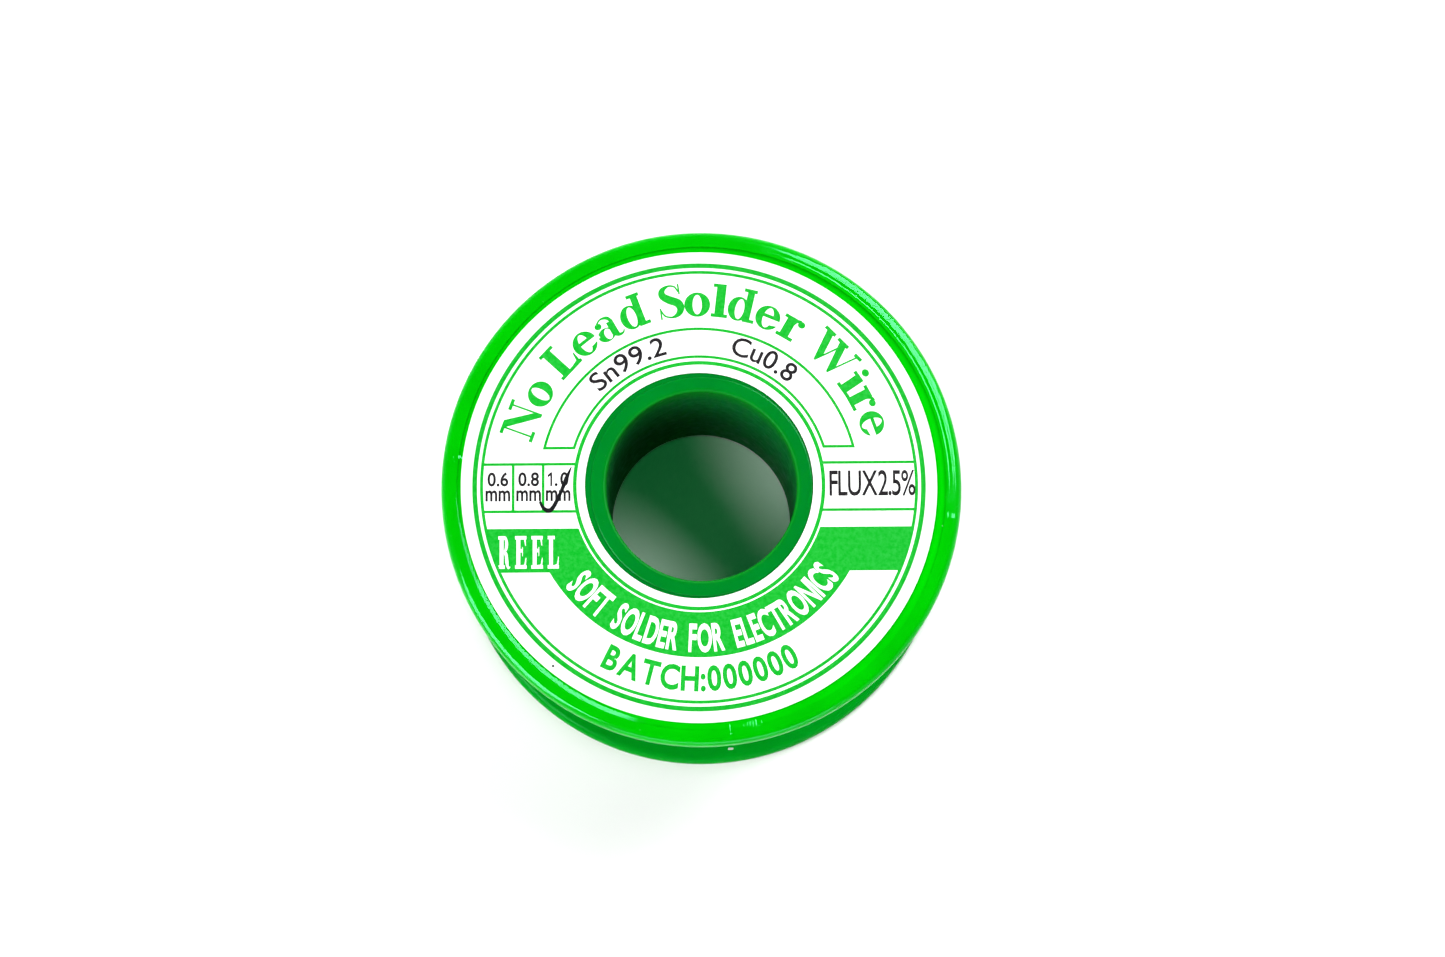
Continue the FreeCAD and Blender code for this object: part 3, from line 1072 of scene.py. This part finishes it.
def film_ripple(angle, place):
    """How far the film stands out from its smooth shape, by direction and share of its path."""
    def near(direction, width):
        away = (angle - direction + 180) % 360 - 180
        return math.exp(-((away * math.radians(1) * FLANGE_RADIUS / width) ** 2))

    ripple = SEAM_HEIGHT * near(SEAM_DIRECTION, SEAM_WIDTH)
    tucks = TUCKS_HEIGHT * near(TUCKS_DIRECTION, TUCKS_WIDTH)
    ripple += tucks * (1 + math.sin(angle * 9 + place * 40))
    ripple += CREASE_HEIGHT * sum(near(direction, width) for direction, width in CREASES)
    near_lip = max(0.0, 1 - min(place, 1 - place) * 9)
    waves = 1 + math.sin(angle * 0.7) * math.sin(angle * 0.23 + 1)
    ripple += LIP_WAVE_HEIGHT * near_lip * waves
    pressed_flat = smooth((place - 0.6) / 0.1)
    return ripple * (1 - pressed_flat)


KNOT_POINTS = 40
KNOT_SPREADS = (0.16 * MM, 0.06 * MM, 0.12 * MM)


def crumpled_material():
    """Film gathered so tightly that it looks whitish."""
    material, tree, shader = new_material("crumpled_film")
    creases = noise(tree, 4000, 3)
    colour = colour_mix(tree, creases, (0.25, 0.36, 0.28), (0.6, 0.6, 0.57))
    tree.links.new(colour, shader.inputs["Base Color"])
    shader.inputs["Roughness"].default_value = 0.3
    bump(tree, shader, creases, 0.05 * MM)
    return material


def make_film_knot():
    """The little crumpled nub where the film's seam was pinched under the front rim."""
    rng = random.Random(7)
    middle = polar(FLANGE_RADIUS + 0.25 * MM, SEAM_DIRECTION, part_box("front_flange")[1].z - 1.5 * MM)
    mesh = bmesh.new()
    for _ in range(KNOT_POINTS):
        away = Vector([rng.gauss(0, spread) for spread in KNOT_SPREADS])
        mesh.verts.new(middle + away)
    hull = bmesh.ops.convex_hull(mesh, input=mesh.verts)
    left_over = hull["geom_interior"] + hull["geom_unused"]
    inner = {item for item in left_over if isinstance(item, bmesh.types.BMVert)}
    bmesh.ops.delete(mesh, geom=list(inner), context="VERTS")
    data = bpy.data.meshes.new("film_knot")
    mesh.to_mesh(data)
    mesh.free()
    data.materials.append(crumpled_material())
    knot = bpy.data.objects.new("film_knot", data)
    bpy.context.scene.collection.objects.link(knot)
    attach(knot, "root")


def film_directions():
    """Even steps round the film, and finer ones at its seam and its creases."""
    steps = [
        np.arange(-180, 180, 2.0),
        np.arange(-90, -74, 0.2),
        np.arange(-12, -4, 0.4),
        np.arange(169, 178, 0.4),
    ]
    return np.unique(np.round(np.concatenate(steps), 3))


def make_film():
    path = film_path()
    along = np.gradient(path, axis=0)
    along /= np.linalg.norm(along, axis=1)[:, None]
    outward = np.column_stack([-along[:, 1], along[:, 0]])
    angles = film_directions()
    places = np.linspace(0, 1, len(path))
    sections = []
    for angle in angles:
        ripple = np.array([film_ripple(angle, place) for place in places])
        outer = path + outward * (ripple + FILM_THICKNESS / 2)[:, None]
        inner = path + outward * (ripple - FILM_THICKNESS / 2)[:, None]
        sections.append(np.vstack([outer, inner[::-1]]))
    film = turned_piece("clear_film", sections, angles, film_material())
    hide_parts("shrink_film")


# ---------------------------------------------------------------- floor and lights

# The floor seen down the bore has the green of the light that comes through the tube
BORE_FLOOR = (0.8, 0.9, 0.85)
BORE_GLOW = (0.0, 0.052, 0.011)
BORE_FLOOR_ENDS = (9.9 * MM, 10.1 * MM)
FLOOR_HALF_WIDTH = 3.0


def make_floor():
    data = bpy.data.meshes.new("floor")
    corners = [(-1, -1), (1, -1), (1, 1), (-1, 1)]
    places = [(x * FLOOR_HALF_WIDTH, y * FLOOR_HALF_WIDTH, CAD_BOX[0].z) for x, y in corners]
    data.from_pydata(places, [], [(0, 1, 2, 3)])
    floor = bpy.data.objects.new("floor", data)
    bpy.context.scene.collection.objects.link(floor)
    material, tree, shader = new_material("floor_white")
    grain = noise(tree, 30, 2)
    white = colour_mix(tree, grain, (0.90, 0.90, 0.90), (0.92, 0.92, 0.92))
    colour = outward_blend(tree, BORE_FLOOR, white, *BORE_FLOOR_ENDS)
    tree.links.new(colour, shader.inputs["Base Color"])
    glow = outward_blend(tree, BORE_GLOW, (0, 0, 0), *BORE_FLOOR_ENDS)
    tree.links.new(glow, shader.inputs["Emission Color"])
    shader.inputs["Emission Strength"].default_value = 1.0
    shader.inputs["Roughness"].default_value = 0.6
    shader.inputs["Specular IOR Level"].default_value = 0.2
    data.materials.append(material)


HORIZON_LIGHT = 0.5
CEILING_LIGHT = 0.02
BOX_SIZE = (0.34, 0.46)
FILL_SIZE = (0.6, 0.25)


def make_light(name, place, size, power):
    """A soft box that faces the spool."""
    data = bpy.data.lights.new(name, "AREA")
    data.shape = "RECTANGLE"
    data.size, data.size_y = size
    data.energy = power
    light = bpy.data.objects.new(name, data)
    light.location = place
    light.rotation_euler = (-Vector(place)).to_track_quat("-Z", "Y").to_euler()
    bpy.context.scene.collection.objects.link(light)
    return light


def make_world():
    """A room that is pale at the horizon and dark overhead, so that little is mirrored."""
    world = bpy.data.worlds.new("studio")
    world.use_nodes = True
    tree = world.node_tree
    background = tree.nodes["Background"]
    background.inputs["Color"].default_value = (1, 1, 1, 1)
    direction = add_node(tree, "ShaderNodeTexCoord").outputs["Generated"]
    height = add_node(tree, "ShaderNodeSeparateXYZ", Vector=direction).outputs["Z"]
    strength = ramp(tree, height, HORIZON_LIGHT, CEILING_LIGHT, 0.3, 0.7)
    tree.links.new(strength, background.inputs["Strength"])
    bpy.context.scene.world = world


def make_lights():
    make_light("left_box", (-0.38, -0.24, 0.47), BOX_SIZE, 4.2)
    make_light("right_box", (0.30, 0.33, 0.51), BOX_SIZE, 4.6)
    make_light("front_fill", (0.05, -0.52, 0.31), FILL_SIZE, 0.9)
    back_fill = make_light("back_fill", (-0.05, 0.52, 0.31), FILL_SIZE, 1.6)
    back_fill.visible_glossy = False


make_camera()
make_wire()
dress_cad_nodes()
make_core()
make_print()
make_film()
make_film_knot()
make_floor()
make_world()
make_lights()
bpy.context.scene.view_settings.view_transform = "Standard"
